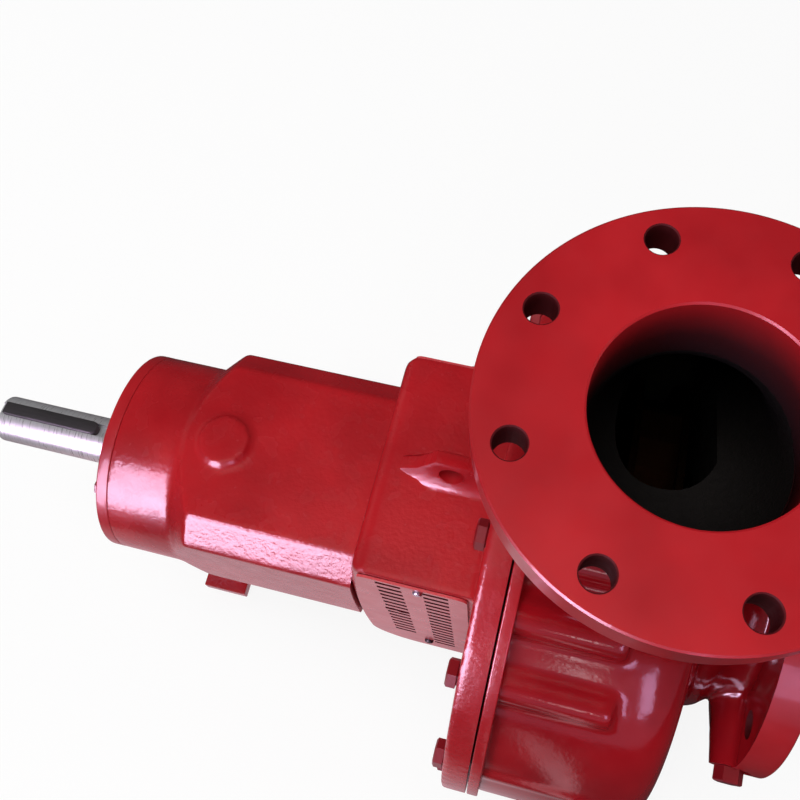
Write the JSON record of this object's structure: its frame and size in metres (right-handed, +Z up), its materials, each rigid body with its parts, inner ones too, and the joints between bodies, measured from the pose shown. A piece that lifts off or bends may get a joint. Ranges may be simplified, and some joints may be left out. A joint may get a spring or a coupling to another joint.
{
  "type": "centrifugal pump",
  "caption": "End-suction volute pump with a round bearing frame, a boxy guarded lantern, drilled pipe flanges, feet and a keyed bare shaft",
  "frame": {"origin": "centre of the bounding box, on the ground plane under the feet", "axes": "+X along the shaft towards the suction flange, +Z up through the discharge flange, -Y the side that the picture shows"},
  "size_m": [0.71, 0.5, 0.635],
  "materials": {
    "casing_paint": "glossy red enamel over cast iron",
    "discharge_paint": "glossy red enamel over a machined face",
    "suction_paint": "glossy red enamel over a machined face",
    "joint_paint": "glossy red enamel over cast iron",
    "cover_iron": "bare cast iron",
    "gland_bronze": "machined bronze",
    "suction_ring_bronze": "machined bronze",
    "back_ring_bronze": "machined bronze",
    "lantern_paint": "glossy red enamel over cast iron",
    "guard_near_paint": "glossy red enamel over sheet steel",
    "guard_far_paint": "glossy red enamel over sheet steel",
    "frame_paint": "glossy red enamel over cast iron",
    "cap_paint": "glossy red enamel over cast iron",
    "seal_rubber": "black rubber",
    "drive_bearing_steel": "ground steel",
    "pump_bearing_steel": "ground steel",
    "inner_cap_paint": "glossy red enamel over cast iron",
    "support_paint": "glossy red enamel over cast iron",
    "plug_paint": "red enamel over steel",
    "shaft_steel": "ground bright steel",
    "key_steel": "dark drawn steel",
    "impeller_bronze": "cast bronze",
    "nut_bronze": "machined bronze",
    "sleeve_steel": "ground steel",
    "deflector_rubber": "black rubber"
  },
  "bodies": {
    "pump_body": {"volute_casing": "casing_paint", "discharge_flange": "discharge_paint", "suction_flange": "suction_paint", "casing_flange": "joint_paint", "casing_cover": "cover_iron", "seal_gland": "gland_bronze", "suction_wear_ring": "suction_ring_bronze", "back_wear_ring": "back_ring_bronze", "lantern": "lantern_paint", "guard_near": "guard_near_paint", "guard_far": "guard_far_paint", "bearing_frame": "frame_paint", "drive_end_cap": "cap_paint", "drive_oil_seal": "seal_rubber", "drive_bearing": "drive_bearing_steel", "pump_bearing": "pump_bearing_steel", "inner_bearing_cap": "inner_cap_paint", "rear_support_foot": "support_paint", "suction_plug": "plug_paint"},
    "rotor": {"shaft": "shaft_steel", "shaft_key": "key_steel", "impeller": "impeller_bronze", "impeller_nut": "nut_bronze", "shaft_sleeve": "sleeve_steel", "deflector": "deflector_rubber"}
  },
  "joints": [
    {"name": "shaft_spin", "type": "hinge", "parent": "pump_body", "child": "rotor", "pos_m": [0.218, 0, 0.28], "axis": [1, 0, 0], "continuous": true}
  ]
}
